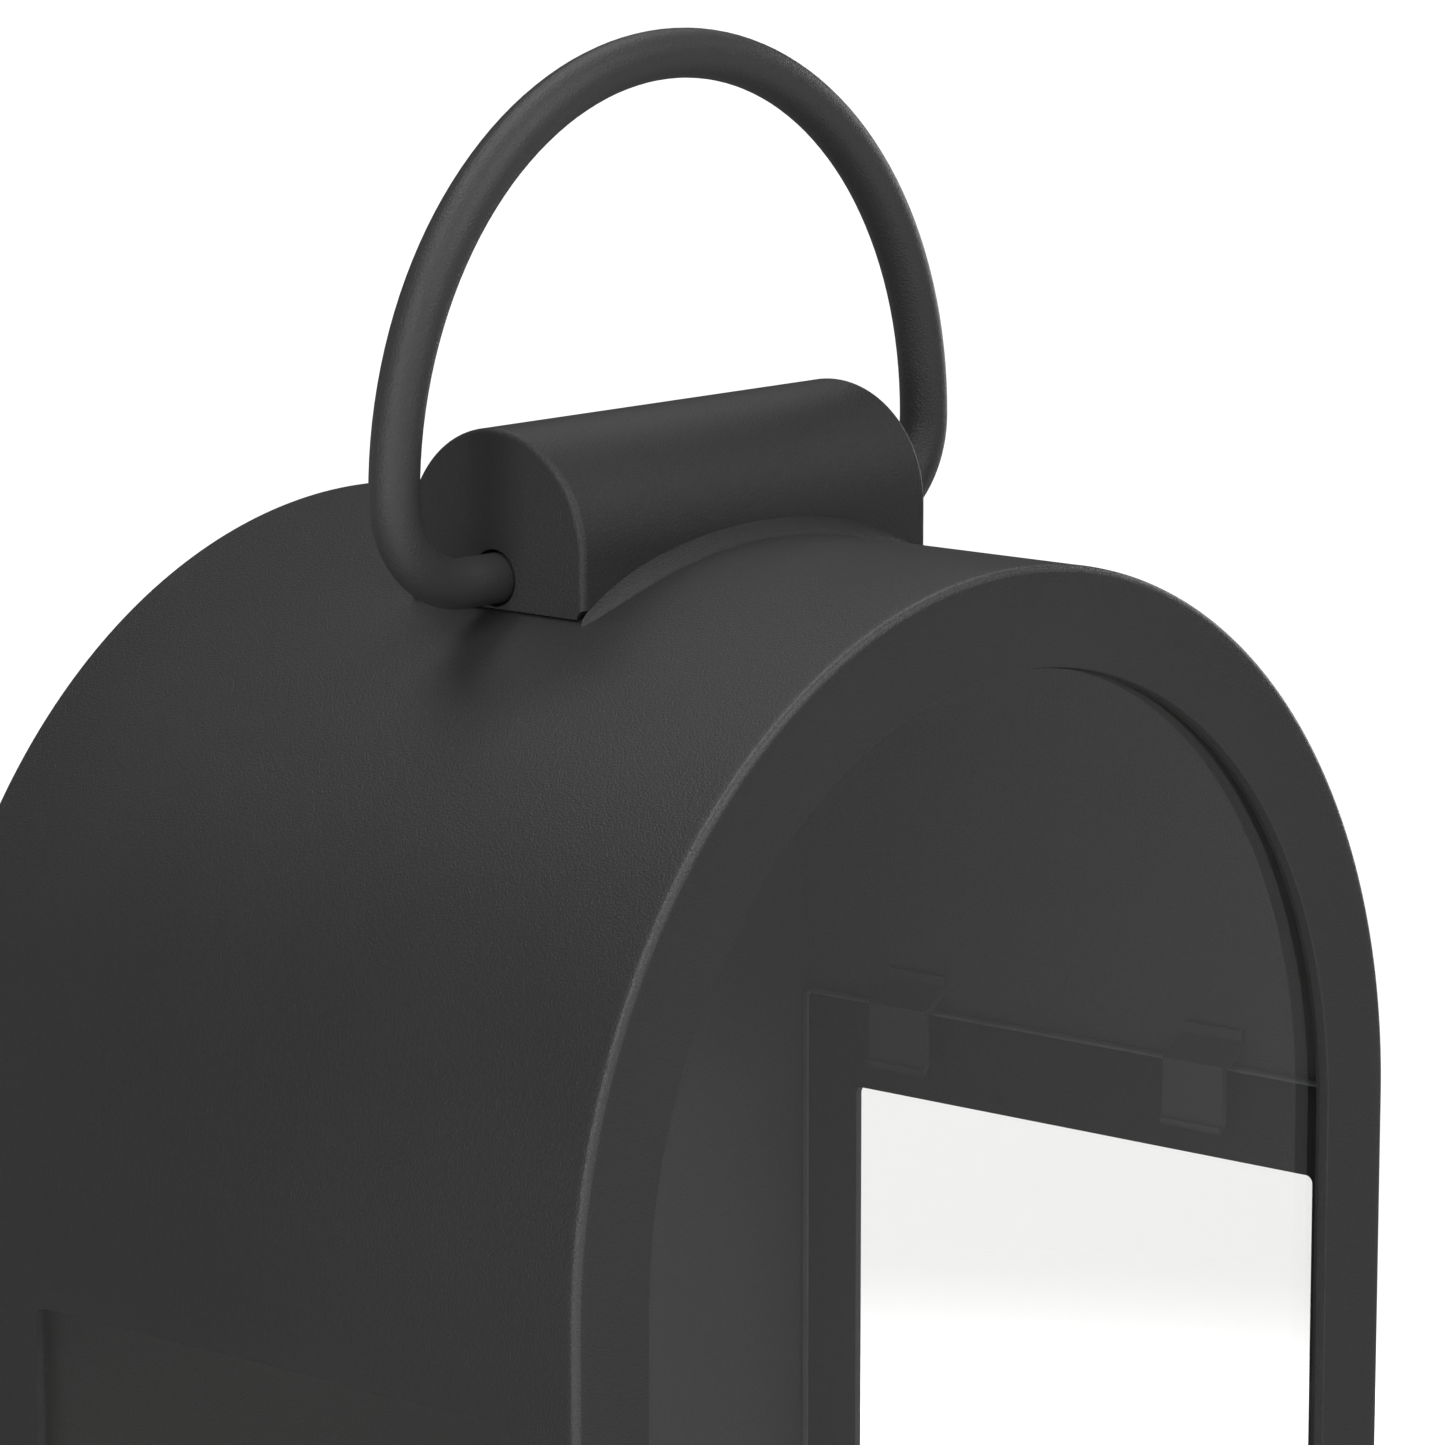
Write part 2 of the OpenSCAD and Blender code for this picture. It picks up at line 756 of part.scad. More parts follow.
// Slider at its "off" end: a foot in the housing, a neck through the slot and a ribbed knob.
module switch_slider() {
    off_x = switch_x - switch_travel / 2;
    knob_y = recess_y + 0.4;
    color("#2b2c2f") {
        block(off_x, back_y - 1.5, switch_z - 3, [9, 2, 6]);
        block(off_x, (back_y - 0.6 + knob_y + 0.5) / 2, switch_z - 2, [5, knob_y + 1.1 - back_y, 4]);
        difference() {
            block(off_x, knob_y + 1.75, switch_z - 3.5, [6.4, 3.5, 7]);
            for (x = [-1.8, 0, 1.8])
                block(off_x + x, knob_y + 3.5, switch_z - 4, [0.7, 1, 8]);
        }
    }
}

module switch_screws() {
    color(zinc)
        for (x = [-14, 14])
            translate([switch_x + x, recess_y, switch_z])
                rotate([-90, 0, 0]) screw(4.5);
}

// Battery and board -----------------------------------------------------------------------

// Trough that opens downward through the bottom plate, with a boss for the cover's screw.
module battery_box() {
    inner = [box_l - 2 * box_wall, box_w - 2 * box_wall];
    color(abs_black)
        difference() {
            union() {
                block(battery_x, battery_y, plate_top, [box_l, box_w, box_h]);
                translate([cover_screw_x, battery_y, plate_top]) cylinder(h = 8, r = 4, $fn = 48);
            }
            block(battery_x, battery_y, plate_top - 1, [inner[0], inner[1], box_h - box_wall + 1]);
            translate([cover_screw_x, battery_y, plate_top - 1]) cylinder(h = 8, r = m3_r, $fn = 32);
        }
}

module battery_cell() {
    cap_h = 1.2;
    color("#2f6f8f")
        translate([battery_x - battery_l / 2, battery_y, battery_z])
            rotate([0, 90, 0]) {
                cylinder(h = battery_l - cap_h, r = battery_r, $fn = 64);
                cylinder(h = battery_l, r = 3, $fn = 32);
            }
}

// A plate contact at the positive end and a coil spring's envelope at the other.
module battery_contacts() {
    plate = [0.5, 12, 14];
    inner_half = box_l / 2 - box_wall;
    room = inner_half - battery_l / 2;
    spring_l = room - plate[0];
    color("silver") {
        for (s = [-1, 1])
            block(battery_x + s * (inner_half - plate[0] / 2), battery_y, battery_z - 6, plate);
        block(battery_x + battery_l / 2 + room / 2 - 0.2, battery_y, battery_z - 2, [room - 0.4, 4, 4]);
        translate([battery_x - inner_half + plate[0], battery_y, battery_z])
            rotate([0, 90, 0])
                for (turn = [0 : 2])
                    translate([0, 0, 0.4 + turn * (spring_l - 0.8) / 2])
                        rotate_extrude($fn = 48) translate([4.5 - turn * 0.6, 0]) circle(0.4, $fn = 16);
    }
}

module battery_gasket() {
    color(rubber)
        difference() {
            block(battery_x + 3, battery_y, plate_z - 0.5, [cover_l - 4, cover_w - 4, 0.5]);
            block(battery_x, battery_y, plate_z - 1, [box_l, box_w - 1, 2]);
            translate([cover_screw_x, battery_y, plate_z - 1]) cylinder(h = 2, r = m3_clear, $fn = 32);
        }
}

module battery_cover() {
    cover_t0 = 2;
    color(abs_black)
        difference() {
            translate([battery_x + 3, battery_y, plate_z - 0.5 - cover_t0])
                linear_extrude(cover_t0)
                    rounded_rect(-cover_l / 2, -cover_w / 2, cover_l, cover_w, 3);
            translate([cover_screw_x, battery_y, 0]) cylinder(h = plate_z, r = m3_clear, $fn = 32);
            for (x = [-40 : 4 : -28])
                block(battery_x + x, battery_y, plate_z - 3.5, [1.5, cover_w - 12, 1.6]);
        }
}

module battery_screw() {
    color(zinc)
        translate([cover_screw_x, battery_y, plate_z - 2.5]) mirror([0, 0, 1]) screw(9);
}

module circuit_board() {
    color("#1d5b35")
        difference() {
            block(board_x, board_y, board_z, [board_l, board_w, board_t]);
            for (x = [-standoff_x, standoff_x], y = [-standoff_y, standoff_y])
                translate([board_x + x, board_y + y, board_z - 1])
                    cylinder(h = board_t + 2, r = 1.3, $fn = 32);
        }
}

module board_parts() {
    top = board_z + board_t;
    color("#2a2a2c") {
        block(board_x - 8, board_y, top, [9, 9, 1.4]);
        block(board_x - 22, board_y + 6, top, [5, 4, 1.2]);
        translate([board_x + 8, board_y - 4, top]) cylinder(h = 5, r = 4.5, $fn = 48);
        translate([board_x + 20, board_y - 8, top]) cylinder(h = 9, r = 3.2, $fn = 48);
        for (i = [0 : 4])
            block(board_x - 20 + 5 * i, board_y - 14, top, [2, 1.2, 0.8]);
        for (x = [switch_socket_x, battery_socket_x, lamp_socket_x, solar_socket_x])
            block(x, socket_y, top, [8, 6, socket_top - top]);
    }
}

module board_standoffs() {
    color(zinc)
        for (x = [-standoff_x, standoff_x], y = [-standoff_y, standoff_y])
            difference() {
                translate([board_x + x, board_y + y, plate_top]) cylinder(h = 6, r = 2.4, $fn = 6);
                translate([board_x + x, board_y + y, plate_top + 1]) cylinder(h = 6, r = 1.2, $fn = 32);
            }
}

module board_screws() {
    color(zinc)
        for (x = [-standoff_x, standoff_x], y = [-standoff_y, standoff_y])
            translate([board_x + x, board_y + y, board_z + board_t])
                screw(5, shank_r = 1.2, head_r = 2.2, head_h = 1.4);
}

// Two wires side by side along one route, which end upright on top of a socket.
module wire_pair(route, socket_x) {
    spread = [1.2, 0, 1.2];
    for (s = [-1, 1])
        let (end_x = socket_x + s * spread[0])
            wire(concat(
                [for (p = route) p + s * spread],
                [for (rise = [4, 2, 0]) [end_x, socket_y, socket_top + rise]]
            ), wire_r, 4);
}

module battery_leads() {
    box_y = battery_y - box_w / 2;
    color("red")
        for (s = [-1, 1])
            let (end_x = battery_socket_x + 2 * s)
                wire([
                    [battery_x + 30 * s, box_y, battery_z + 4],
                    [battery_x + 30 * s, box_y - 2, battery_z + 4],
                    [battery_x + 28 * s, box_y - 7, battery_z + 5],
                    [battery_socket_x + 8 * s, 4, battery_z + 6],
                    [end_x, socket_y + 2, socket_top + 6], [end_x, socket_y, socket_top + 4],
                    [end_x, socket_y, socket_top + 2], [end_x, socket_y, socket_top]
                ], wire_r, 4);
}

module switch_leads() {
    color("black")
        wire_pair([
            [switch_x, back_y - 10, switch_z], [switch_x, back_y - 12, switch_z],
            [switch_x, back_y - 18, switch_z + 1], [switch_x + 2, 20, switch_z + 3],
            [switch_socket_x - 12, 0, socket_top + 6], [switch_socket_x - 3, socket_y + 2, socket_top + 7]
        ], switch_socket_x);
}

module lamp_leads() {
    color("white")
        wire_pair([
            [0, candle_y, candle_top - 2.5], [0, candle_y, candle_top - 30], [0, candle_y, floor_z + 40],
            [0, candle_y, floor_z + 6], [1, candle_y - 1, floor_z - 5],
            [lamp_socket_x - 2, socket_y + 2, socket_top + 7]
        ], lamp_socket_x);
}

// Candle ----------------------------------------------------------------------------------

module candle_base() {
    base_r = candle_r - 1.5;
    plug_r = candle_r - candle_wall - 0.1;
    color(abs_black)
        translate([0, candle_y, 0])
            difference() {
                union() {
                    translate([0, 0, floor_z]) cylinder(h = 3, r = base_r, $fn = fine);
                    translate([0, 0, floor_z]) cylinder(h = candle_base_h, r = plug_r, $fn = fine);
                }
                translate([0, 0, floor_z + 2.4]) cylinder(h = candle_base_h, r = plug_r - 2.4, $fn = fine);
                translate([0, 0, floor_z - 1]) cylinder(h = 5, r = 6, $fn = 48);
                for (a = candle_screw_angles)
                    rotate(a)
                        translate([candle_screw_pcd / 2, 0, floor_z - 1])
                            cylinder(h = 5, r = m3_r, $fn = 32);
            }
}

module candle_screws() {
    color(zinc)
        for (a = candle_screw_angles)
            translate([0, candle_y, floor_under])
                rotate(a) translate([candle_screw_pcd / 2, 0, 0])
                    mirror([0, 0, 1]) screw(4.5);
}

// Wax-effect sleeve with a rolled lip and a shallow pool at the top.
module candle_body() {
    lip_r = 3;
    pool_r = candle_r - 2 * lip_r;
    bowl = 2 * candle_r;
    sleeve_z = floor_z + 3;
    color(wax)
        translate([0, candle_y, 0])
            difference() {
                rotate_extrude($fn = fine) {
                    translate([0, sleeve_z]) square([candle_r, candle_h - 3 - lip_r]);
                    translate([0, sleeve_z]) square([candle_r - lip_r, candle_h - 3]);
                    translate([candle_r - lip_r, candle_top - lip_r]) circle(lip_r, $fn = 48);
                }
                translate([0, 0, sleeve_z - 1])
                    cylinder(h = candle_h - pool_depth - 6, r = candle_r - candle_wall, $fn = fine);
                intersection() {
                    translate([0, 0, candle_top + bowl - pool_depth]) sphere(bowl, $fn = 128);
                    translate([0, 0, candle_top - pool_depth])
                        cylinder(h = pool_depth + 1, r = pool_r, $fn = fine);
                }
                translate([0, 0, candle_top - 20]) cylinder(h = 30, r = 5, $fn = 48);
            }
}

// Collared tube that stands in the candle's wick hole and carries the flame lens.
module flame_holder() {
    pool_z = candle_top - pool_depth;
    color(wax)
        translate([0, candle_y, 0])
            difference() {
                union() {
                    translate([0, 0, pool_z - 6]) cylinder(h = 7 + pool_depth, r = 4.9, $fn = 48);
                    translate([0, 0, pool_z + 1.2]) cylinder(h = pool_depth - 0.2, r = 6.5, $fn = 48);
                }
                translate([0, 0, pool_z - 7]) cylinder(h = 9 + pool_depth, r = 3.4, $fn = 48);
            }
}

// Hollow teardrop: radius r(t) from the holder, t = 0, to the tip, t = 1.
function flame_radius(t) =
    flame_r * (t < 0.3 ? 0.7 + 0.3 * sin(300 * t) : pow(cos((t - 0.3) * 128), 0.8));
function flame_height(t) = flame_z + flame_h * t;
module flame_lens() {
    steps = 20;
    wall = 1;
    outer = [for (i = [0 : steps - 1]) [flame_radius(i / steps), flame_height(i / steps)]];
    inner = [for (i = [0 : steps - 3])
        [max(flame_radius(i / steps) - wall, 0.3), flame_height(i / steps)]];
    tip = [[0, flame_height(1)], [0, inner[steps - 3][1]]];
    backward = [for (i = [steps - 3 : -1 : 0]) inner[i]];
    color([1, 0.9, 0.7, 0.6])
        translate([0, candle_y, 0])
            rotate_extrude($fn = 64)
                polygon(concat(outer, tip, backward));
}

module lamp_board() {
    color("white")
        translate([0, candle_y, flame_z - 1.2])
            cylinder(h = 1.2, r = 3.3, $fn = 48);
}

module lamp_emitter() {
    color([1, 0.85, 0.5])
        translate([0, candle_y, flame_z]) {
            cylinder(h = 4, r = 2.5, $fn = 48);
            intersection() {
                translate([0, 0, 4]) sphere(2.5, $fn = 48);
                translate([0, 0, 3.9]) cylinder(h = 3, r = 3, $fn = 48);
            }
        }
}

body_shell();
front_frame();
front_glass();
front_tabs();
side_glass(-1);  // side_glass_left
side_glass(1);  // side_glass_right
side_tabs(-1);  // side_tabs_left
side_tabs(1);  // side_tabs_right
back_panel();
floor_plate();
bottom_plate();
base_brackets();
bottom_screws();
rubber_feet();
handle_mount();
mount_cap(-1);  // mount_cap_left
mount_cap(1);  // mount_cap_right
mount_welds();
handle_ring();
solar_gasket();
solar_frame();
solar_cells();
solar_ribbons();
solar_cover();
solar_clips();
solar_screws();
lead_grommet();
solar_lead();
switch_housing();
switch_slider();
switch_screws();
battery_box();
battery_cell();
battery_contacts();
battery_cover();
battery_gasket();
battery_screw();
circuit_board();
board_parts();
board_standoffs();
board_screws();
battery_leads();
switch_leads();
lamp_leads();
candle_base();
candle_screws();
candle_body();
flame_holder();
flame_lens();
lamp_board();
lamp_emitter();
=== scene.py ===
"""Looks of the solar lantern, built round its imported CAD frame. Metres, Z up, front towards -Y."""
import json
import math

import bmesh
import bpy
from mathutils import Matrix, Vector


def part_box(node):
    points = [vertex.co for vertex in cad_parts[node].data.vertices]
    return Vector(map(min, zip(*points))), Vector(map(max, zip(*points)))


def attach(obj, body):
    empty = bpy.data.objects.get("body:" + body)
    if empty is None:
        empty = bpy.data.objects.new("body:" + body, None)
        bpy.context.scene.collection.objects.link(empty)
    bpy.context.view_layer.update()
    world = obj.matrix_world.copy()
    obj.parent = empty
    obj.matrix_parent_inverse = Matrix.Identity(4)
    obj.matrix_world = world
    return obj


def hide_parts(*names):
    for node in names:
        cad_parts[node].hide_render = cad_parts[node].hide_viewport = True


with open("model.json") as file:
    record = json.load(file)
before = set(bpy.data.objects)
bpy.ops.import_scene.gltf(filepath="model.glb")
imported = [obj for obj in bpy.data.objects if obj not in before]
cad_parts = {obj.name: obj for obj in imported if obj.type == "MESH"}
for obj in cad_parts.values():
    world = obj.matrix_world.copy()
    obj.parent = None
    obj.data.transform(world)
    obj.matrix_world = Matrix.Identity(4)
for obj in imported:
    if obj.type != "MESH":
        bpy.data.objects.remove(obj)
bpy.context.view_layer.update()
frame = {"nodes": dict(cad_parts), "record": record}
NODES = frame["nodes"]

# Camera: a long lens that looks down a little at the lantern's front left corner. Yaw and pitch
# are in degrees, the lens and the sensor's width in millimetres.
CAMERA_YAW = 48.997
CAMERA_PITCH = 10.199
CAMERA_DISTANCE = 1.13
CAMERA_LENS = 163.48
CAMERA_SENSOR = 36.0
CAMERA_CLIP = (0.01, 100.0)
CAMERA_AIM = Vector((-0.0136, -0.0238, 0.3094))

# White floor. The camera sees it lit and shaded near the lantern, where FLOOR_GAIN lifts it to
# white, and at an even FLOOR_WHITE further out, with a blend from FLOOR_SHADOW_NEAR to
# FLOOR_SHADOW_FAR from the middle. Reflections see FLOOR_BOUNCE, its brightness towards
# FLOOR_QUARTERS: the front right, rear right, rear left and front left.
FLOOR_SIZE = 60.0
FLOOR_WHITE = 1.1
FLOOR_GAIN = 5.0
FLOOR_SHADOW_NEAR = 0.35
FLOOR_SHADOW_FAR = 0.8
FLOOR_QUARTERS = ((1, -1), (1, 1), (-1, 1), (-1, -1))
FLOOR_BOUNCE = (0.32, 0.15, 0.11, 0.85)
WORLD_WHITE = 1.1

# Soft boxes, all at LIGHT_DISTANCE from LIGHT_AIM: azimuth, which is 0 in front of the lantern
# and 90 to its right, elevation, side in metres, power in watts, and whether surfaces mirror it.
LIGHT_DISTANCE = 2.2
LIGHT_AIM = Vector((0.0, 0.0, 0.25))
LIGHTS = {
    "front_high": (0, 40, 1.6, 12.8, True),
    "right_front": (40, 40, 1.6, 5.0, True),
    "left_front": (-66, 24, 1.2, 3.0, True),
    "left_edge": (-55, 13, 0.3, 2.4, True),
    "left_high": (-78, 42, 0.6, 7.0, True),
    "left_low": (-91, 5, 0.5, 4.8, True),
    "rear_left_top": (-135, 72, 1.2, 11.0, True),
    "rear_right_top": (135, 64, 1.4, 6.0, True),
    "right_rear": (120, 40, 1.2, 2.0, True),
    "right_low": (97, 6, 1.0, 5.0, True),
    "rear_low": (180, 12, 1.2, 12.0, False),
}

# Powder coat: on the sheet metal; on the ring's rod, a little glossier, with a lighter colour that
# is painted sheen; and on the front frame's outer edge up to EDGE_REACH from its corner, glossier
# and lighter, the lighter colour being a painted highlight along the edge.
PAINT_COLOUR = (0.044, 0.044, 0.045)
PAINT_ROUGHNESS = 0.42
# Lighter than the body's paint: painted sheen on the rod.
ROD_SHEEN_COLOUR = (0.060, 0.060, 0.061)
ROD_ROUGHNESS = 0.38
EDGE_HIGHLIGHT_COLOUR = (0.075, 0.075, 0.076)
EDGE_ROUGHNESS = 0.27
EDGE_REACH = 0.0013
SPECK_COLOUR = (0.075, 0.075, 0.075)

# Printed silver fingers on the solar cells: their pitch and the share of it that is silver.
FINGER_PITCH = 0.0021
FINGER_SHARE = 0.07

# Moulded plastics: colour, lighter shade, lowest and highest roughness, and depth of the grain.
PLASTICS = {
    "black_plastic": ((0.022, 0.022, 0.024), (0.030, 0.030, 0.031), 0.44, 0.56, 0.00005),
    "slider_plastic": ((0.055, 0.055, 0.060), (0.070, 0.070, 0.074), 0.32, 0.42, 0.00002),
    "board_parts": ((0.026, 0.026, 0.027), (0.042, 0.041, 0.040), 0.40, 0.55, 0.00003),
}

# Wire insulation: colour and lighter shade.
WIRES = {
    "black_wire": ((0.018, 0.018, 0.018), (0.028, 0.028, 0.028)),
    "red_wire": ((0.42, 0.018, 0.016), (0.50, 0.030, 0.025)),
    "white_wire": ((0.72, 0.72, 0.70), (0.80, 0.79, 0.76)),
}

# Circuit boards: colour of the mask, and of the mask over a copper track.
BOARDS = {
    "green_board": ((0.016, 0.095, 0.042), (0.040, 0.200, 0.085)),
    "lamp_board": ((0.78, 0.78, 0.77), (0.66, 0.66, 0.64)),
}

# Front band: its width, the softening of the opening's edges, the height of the opening's
# foot, and its outer edge as pairs of inset and depth: a crisp corner between faces that
# roll off gently towards it.
BAND_WIDTH = 0.0175
BAND_CORNER = (
    (0.0036, 0.0), (0.0026, 0.00002), (0.0018, 0.00008), (0.0012, 0.00018), (0.0008, 0.00031),
    (0.0005, 0.00049), (0.00030, 0.00069), (0.00016, 0.00095), (0.00006, 0.0013), (0.0, 0.0020),
)
BAND_SOFT_EDGE = 0.0003
BAND_SOFT_STEPS = 4
OPENING_FOOT = 0.042

# Body sheet: its thickness, the steps round its rim and along the arch, and its windows as the
# lowest and highest y and z, with the radius of their corners.
SHELL_SHEET = 0.0016
RIM_STEPS = 10
ARCH_STEPS = 160
WINDOW_BOX = (-0.0615, 0.048, OPENING_FOOT, 0.2125)
WINDOW_CORNER = 0.0015
WINDOW_CORNER_STEPS = 8

# Side panes: the bevel of their ground edges, the cut of their corners, and how squarely a face
# looks sideways to count as one of the two clear faces.
PANE_ARRIS = 0.0004
PANE_CORNER = 0.001
PANE_FACE = 0.95

# Black bead round the front pane: leg of the bead, how far it reaches under the band, how hollow
# its slope is, and the height of its ripple with the two rates that make it up, per step.
FRONT_BEAD_LEG = 0.0004
FRONT_BEAD_TUCK = 0.0001
FRONT_BEAD_SLOPE = 0.45
FRONT_BEAD_RIPPLE = 0.12
FRONT_BEAD_RATES = (0.9, 0.23)

# Saddle welds: leg of the bead and the least it shrinks to, length of its rounded tips and of
# its taper, the thickness it starts from there, how flat its face is, its ripple and the rate
# per radian, how far short of the cap the rear bead stops, and how far both sink in the vault.
WELD_LEG = 0.0028
WELD_LEAST = 0.00005
WELD_TIP = 0.0025
WELD_TAPER = 0.02
WELD_START = 0.35
WELD_FLATNESS = 0.85
WELD_FACE_STEPS = 6
WELD_RIPPLE = 0.008
WELD_RATE = 130.0
WELD_REAR_STOP = 0.005
WELD_SINK = 0.0004

# Meshes: the steps along the front bead or a weld bead, the distance up to which points are
# merged, and the angles in degrees from which an edge shades as sharp.
BEAD_STEPS = 120
MERGE_DISTANCE = 1e-7
SHARP = 32.0
SHARP_PANE = 20.0
SHARP_FRONT_BEAD = 60.0
SHARP_WELD = 50.0


# Node graphs ------------------------------------------------------------------------------

class Graph:
    """Node tree of a material or the world, with short calls to add and join nodes."""

    def __init__(self, owner, output="ShaderNodeOutputMaterial"):
        self.owner = owner
        owner.use_nodes = True
        self.tree = owner.node_tree
        self.tree.nodes.clear()
        self.output = self.add(output)

    def add(self, kind, inputs=None, **settings):
        """A new node. An input takes another node's output or a plain value."""
        node = self.tree.nodes.new(kind)
        for key, value in settings.items():
            setattr(node, key, value)
        for key, value in (inputs or {}).items():
            if isinstance(value, bpy.types.NodeSocket):
                self.tree.links.new(value, node.inputs[key])
            else:
                node.inputs[key].default_value = value
        return node

    def surface(self, shader):
        self.tree.links.new(shader.outputs[0], self.output.inputs[0])

    def position(self):
        return self.add("ShaderNodeTexCoord").outputs["Object"]

    def height(self):
        return self.add("ShaderNodeSeparateXYZ", {0: self.position()}).outputs["Z"]

    def stretched(self, scale):
        """Position drawn out along an axis by a scale below 1."""
        inputs = {"Vector": self.position(), "Scale": scale}
        return self.add("ShaderNodeMapping", inputs).outputs[0]

    def noise(self, scale, detail=2.0, roughness=0.5, vector=None):
        node = self.add(
            "ShaderNodeTexNoise",
            {
                "Vector": vector or self.position(),
                "Scale": scale,
                "Detail": detail,
                "Roughness": roughness,
            },
        )
        return node.outputs["Fac"]

    def spread(self, value, low, high, source_low=0.0, source_high=1.0):
        """The value carried over from the source's range to low and high, and held there."""
        node = self.add(
            "ShaderNodeMapRange",
            {
                "Value": value,
                "From Min": source_low,
                "From Max": source_high,
                "To Min": low,
                "To Max": high,
            },
        )
        return node.outputs["Result"]

    def contrast(self, value, low, high):
        """0 up to low, 1 from high on, and a straight rise between them."""
        return self.spread(value, 0.0, 1.0, low, high)

    def math(self, operation, first, second=0.0):
        return self.add("ShaderNodeMath", {0: first, 1: second}, operation=operation).outputs[0]

    def blend(self, share, first, second):
        """The first colour where share is 0 and the second where it is 1."""
        factor_socket, first_socket, second_socket, colour_output = 0, 6, 7, 2
        inputs = {factor_socket: share}
        for socket, colour in ((first_socket, first), (second_socket, second)):
            plain = isinstance(colour, tuple)
            inputs[socket] = (*colour, 1.0) if plain else colour
        return self.add("ShaderNodeMix", inputs, data_type="RGBA").outputs[colour_output]

    def bump(self, height, distance, strength=1.0, normal=None):
        inputs = {"Height": height, "Distance": distance, "Strength": strength}
        if normal is not None:
            inputs["Normal"] = normal
        return self.add("ShaderNodeBump", inputs).outputs["Normal"]

    def principled(self, **inputs):
        """The surface's shader, with its inputs named with underscores for spaces."""
        named = {}
        for key, value in inputs.items():
            if isinstance(value, tuple) and len(value) == 3:
                value = (*value, 1.0)
            named[key.replace("_", " ")] = value
        shader = self.add("ShaderNodeBsdfPrincipled", named)
        self.surface(shader)
        return shader


def material_graph(name):
    return Graph(bpy.data.materials.new(name))


# Materials --------------------------------------------------------------------------------

def powder_coat(name, colour, roughness):
    """Charcoal powder coat: fine grain, a slow orange peel and slightly uneven gloss."""
    g = material_graph(name)
    grain = g.noise(scale=2600.0, detail=2.0)
    peel = g.noise(scale=420.0, detail=3.0)
    cloud = g.noise(scale=22.0, detail=3.0)
    speck = g.math("GREATER_THAN", g.noise(scale=3400.0, detail=0.0), 0.72)
    lighter = tuple(1.1 * part for part in colour)
    tint = g.blend(g.contrast(cloud, 0.3, 0.7), colour, lighter)
    tint = g.blend(g.math("MULTIPLY", speck, 0.35), tint, SPECK_COLOUR)
    gloss = g.spread(cloud, roughness - 0.03, roughness + 0.03)
    rough = g.math("ADD", g.spread(grain, -0.05, 0.05), gloss)
    normal = g.bump(grain, distance=0.00016, strength=1.0)
    normal = g.bump(peel, distance=0.00008, strength=0.35, normal=normal)
    g.principled(
        Base_Color=tint, Roughness=rough, Normal=normal, Metallic=0.0, Specular_IOR_Level=0.5,
    )
    return g.owner


def clear_glass():
    """Float glass, close to neutral, with a faint film. Lamps shine through it unbent."""
    g = material_graph("clear_glass")
    film = g.spread(g.noise(scale=9.0, detail=3.0), 0.0, 0.02, 0.45, 0.75)
    glass = g.principled(
        Base_Color=(0.972, 0.975, 0.968), Roughness=film, Transmission_Weight=1.0, IOR=1.5,
    )
    clear = g.add("ShaderNodeBsdfTransparent", {"Color": (0.93, 0.93, 0.92, 1.0)})
    shadow = g.add("ShaderNodeLightPath").outputs["Is Shadow Ray"]
    g.surface(g.add("ShaderNodeMixShader", {0: shadow, 1: glass.outputs[0], 2: clear.outputs[0]}))
    return g.owner


def ground_glass():
    """Seamed edge of a pane: ground to a grey-green frost that catches the light."""
    g = material_graph("ground_glass")
    frost = g.noise(scale=1800.0, detail=3.0, roughness=0.6)
    tint = g.blend(frost, (0.16, 0.18, 0.165), (0.24, 0.27, 0.25))
    g.principled(
        Base_Color=tint, Roughness=g.spread(frost, 0.40, 0.60), Transmission_Weight=0.35, IOR=1.5,
        Normal=g.bump(frost, distance=0.00004, strength=0.7),
    )
    return g.owner


def zinc_plate():
    """Zinc-plated steel: bright, a little cloudy, with faint yellow passivation."""
    g = material_graph("zinc_plate")
    cloud = g.noise(scale=260.0, detail=4.0, roughness=0.6)
    fine = g.noise(scale=2400.0, detail=2.0)
    bright, yellowed = (0.62, 0.63, 0.65), (0.60, 0.57, 0.47)
    tint = g.blend(g.contrast(cloud, 0.35, 0.65), bright, yellowed)
    rough = g.math("ADD", g.spread(cloud, 0.22, 0.38), g.spread(fine, -0.04, 0.04))
    normal = g.bump(fine, distance=0.00001, strength=0.5)
    g.principled(Base_Color=tint, Roughness=rough, Metallic=1.0, Normal=normal)
    return g.owner


def tinned_copper():
    """Tinned ribbon and contacts: drawn along their length, with a soft mottle."""
    g = material_graph("tinned_copper")
    drawn = g.stretched((6.0, 6.0, 0.15))
    streak = g.noise(scale=900.0, detail=3.0, roughness=0.6, vector=drawn)
    mottle = g.noise(scale=500.0, detail=2.0)
    tint = g.blend(mottle, (0.72, 0.71, 0.69), (0.56, 0.55, 0.54))
    normal = g.bump(streak, distance=0.00001, strength=0.6)
    rough = g.spread(streak, 0.2, 0.42)
    g.principled(Base_Color=tint, Roughness=rough, Metallic=1.0, Normal=normal)
    return g.owner


def soft_rubber():
    """Black rubber: matte, faintly dusty, with a skin of fine pores."""
    g = material_graph("soft_rubber")
    dust = g.noise(scale=60.0, detail=4.0, roughness=0.6)
    pores = g.noise(scale=1900.0, detail=2.0)
    clean, dusty = (0.018, 0.018, 0.018), (0.040, 0.038, 0.035)
    g.principled(
        Base_Color=g.blend(g.contrast(dust, 0.4, 0.75), clean, dusty),
        Roughness=g.spread(dust, 0.62, 0.82),
        Normal=g.bump(pores, distance=0.00004, strength=0.5),
        Specular_IOR_Level=0.35,
    )
    return g.owner


